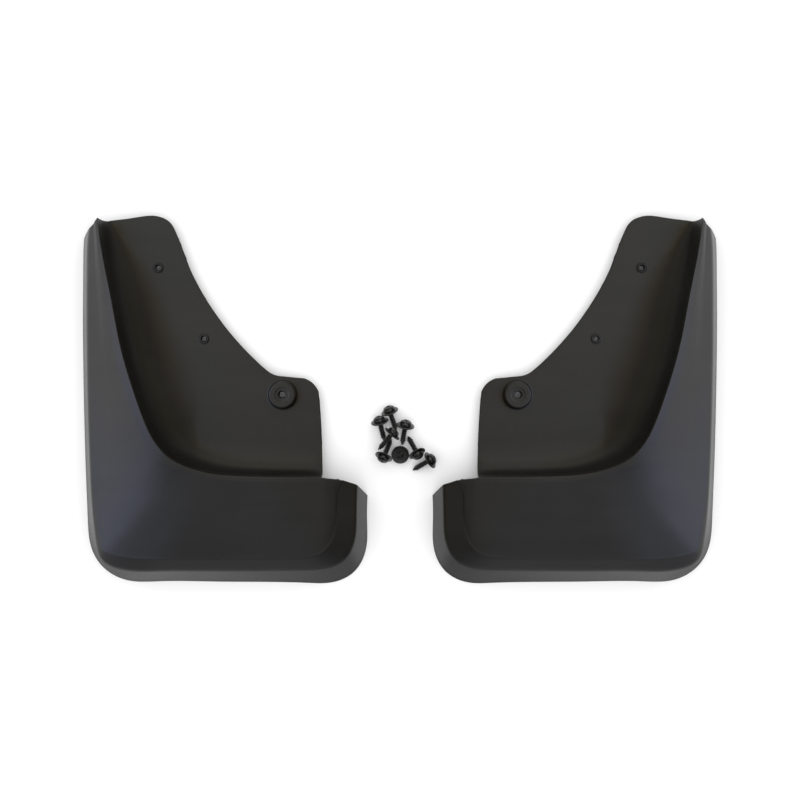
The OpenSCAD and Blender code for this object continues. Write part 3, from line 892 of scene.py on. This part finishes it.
def white_table():
    """White top with painted light and shade in its colour, uneven for the scene, but evenly
    overexposed to the camera.
    """
    overexposed = 1.12
    material, tree, shader = new_material("white_table")
    cloud = add(tree, "TexNoise", Scale=3.0, Detail=2.0).outputs["Fac"]
    white = add(tree, "Mix", data_type="RGBA", Factor=cloud,
                A=(0.86, 0.86, 0.86, 1), B=(0.89, 0.89, 0.89, 1))
    position = add(tree, "NewGeometry").outputs["Position"]
    x, y, _ = add(tree, "SeparateXYZ", Vector=position).outputs
    x = maths("ABSOLUTE", x)
    # painted light: brighter away from the middle
    painted_glow = ramp(x, over=(0.02, 0.29), to=(0.50, 1.15))
    # and painted light in the gap between the flaps
    painted_gap_glow = 0.5
    gap = maths("MULTIPLY", ramp(x, over=(0.025, 0.045), to=(1, 0)),
                ramp(y, over=(-0.150, -0.135)))
    painted_glow = maths("ADD", painted_glow, maths("MULTIPLY", gap, painted_gap_glow))
    # and painted light outboard of each flap
    painted_glow = maths("ADD", painted_glow, ramp(x, over=(0.264, 0.280), to=(0, 0.55)))
    # painted shade: dimmer round a spot at the low-y outboard corner of each flap
    shade_spot_x, shade_spot_y = 0.275, -0.160
    corner = distance_2d(maths("SUBTRACT", x, shade_spot_x), maths("ADD", y, -shade_spot_y))
    painted_glow = maths("MULTIPLY", painted_glow, ramp(corner, over=(0.015, 0.065), to=(0.50, 1)))
    # the camera sees even white; every other ray sees the painted light and shade
    level = add(tree, "Mix", data_type="FLOAT",
                Factor=add(tree, "LightPath").outputs["Is Camera Ray"], A=painted_glow, B=overexposed)
    tint = add(tree, "VectorMath", operation="SCALE", Vector=white.outputs["Result"],
               Scale=level.outputs["Result"])
    configure(shader, Roughness=0.6, Specular_IOR_Level=0.2, Base_Color=tint.outputs[0])
    return material


black_plastic = plastic()
coatings = {"screw": coated("black_coated_screw", threaded=True),
            "washer": coated("black_coated_washer", threaded=False)}
for flap in (left, right):
    flap.data.materials.append(black_plastic)
for piece in hardware:
    piece.data.materials.clear()
    piece.data.materials.append(coatings[piece.name.split("_")[0]])
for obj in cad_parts.values():          # nothing of the CAD model stays bare
    if not obj.data.materials or obj.data.materials[0] is None:
        obj.data.materials.append(black_plastic)

# ------------------------------------------------------------------ stage
bpy.ops.mesh.primitive_plane_add(size=8, location=(0, 0, -0.0004))
floor = bpy.context.object
floor.name = "table_top"
floor.data.materials.append(white_table())
floor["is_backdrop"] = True

scene = bpy.context.scene
scene.view_settings.view_transform = "Standard"
scene.view_settings.look = "None"

world = bpy.data.worlds.new("studio")
scene.world = world
world.use_nodes = True
configure(world.node_tree.nodes["Background"], Color=(1, 1, 1, 1), Strength=0.02)

# ------------------------------------------------------------------ lights
# Soft patches of sky, each lighting one flap; the other flap gets its mirror image:
# azimuth from +X, elevation and width in degrees, colour x strength
FLAP_SKY = [
    (90, 76, 30, (0.246, 0.163, 0.097)),
    (180, 76, 30, (0.148, 0.152, 0.034)),
    (0, 55, 36, (0.081, 0.075, 0.067)),
    (45, 55, 36, (0.001, 0.001, 0.008)),
    (135, 55, 36, (0.387, 0.453, 0.356)),
    (180, 55, 36, (0.469, 0.539, 1.010)),
    (0, 28, 40, (0.113, 0.102, 0.015)),
    (45, 28, 40, (0.232, 0.221, 0.208)),
    (90, 28, 40, (0.444, 0.398, 0.308)),
    (180, 28, 40, (0.819, 0.798, 0.720)),
    (225, 28, 40, (0.291, 0.270, 0.258)),
    (270, 28, 40, (0.396, 0.398, 0.400)),
]
# The same for the screws and washers, in white: azimuth, elevation, width, strength
HARDWARE_SKY = [(80, 58, 56, 1.0), (190, 38, 50, 0.45), (-50, 45, 40, 0.40), (0, 88, 40, 0.06)]


def receivers(name, objects):
    collection = bpy.data.collections.new(name)
    for obj in objects:
        collection.objects.link(obj)
    return collection


def sun(name, width, colour, lit):
    """Sun straight above that lights one collection; colour includes its strength."""
    lamp = bpy.data.lights.new(name, "SUN")
    lamp.angle = math.radians(width)
    lamp.energy = max(colour)
    lamp.color = [c / max(colour) for c in colour]
    obj = link(name, lamp)
    obj.light_linking.receiver_collection = lit
    return obj


def sky_patch(name, azimuth, elevation, width, colour, lit):
    a, e = math.radians(azimuth), math.radians(elevation)
    towards = Vector((math.cos(a) * math.cos(e), math.sin(a) * math.cos(e), math.sin(e)))
    obj = sun(name, width, colour, lit)
    obj.rotation_mode = "QUATERNION"
    obj.rotation_quaternion = towards.to_track_quat("Z", "Y")


lit_table = receivers("lit_table", [floor])
lit_left, lit_right = receivers("lit_left", [left]), receivers("lit_right", [right])
lit_hardware = receivers("lit_hardware", hardware)
sun("table_light", width=150, colour=(3.93, 3.93, 3.93), lit=lit_table)
for k, (azimuth, elevation, width, colour) in enumerate(FLAP_SKY):
    sky_patch("sky_left_%d" % k, azimuth, elevation, width, colour, lit_left)
    sky_patch("sky_right_%d" % k, 180 - azimuth, elevation, width, colour, lit_right)
for k, (azimuth, elevation, width, strength) in enumerate(HARDWARE_SKY):
    sky_patch("sky_hardware_%d" % k, azimuth, elevation, width, (strength,) * 3, lit_hardware)

# ------------------------------------------------------------------ camera
camera = bpy.data.cameras.new("camera")
camera.lens, camera.sensor_width = 64.286, 36
camera.clip_start, camera.clip_end = 0.05, 20
scene.camera = link("camera", camera)
scene.camera.location = (0, 0, 1.2)

low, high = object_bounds()
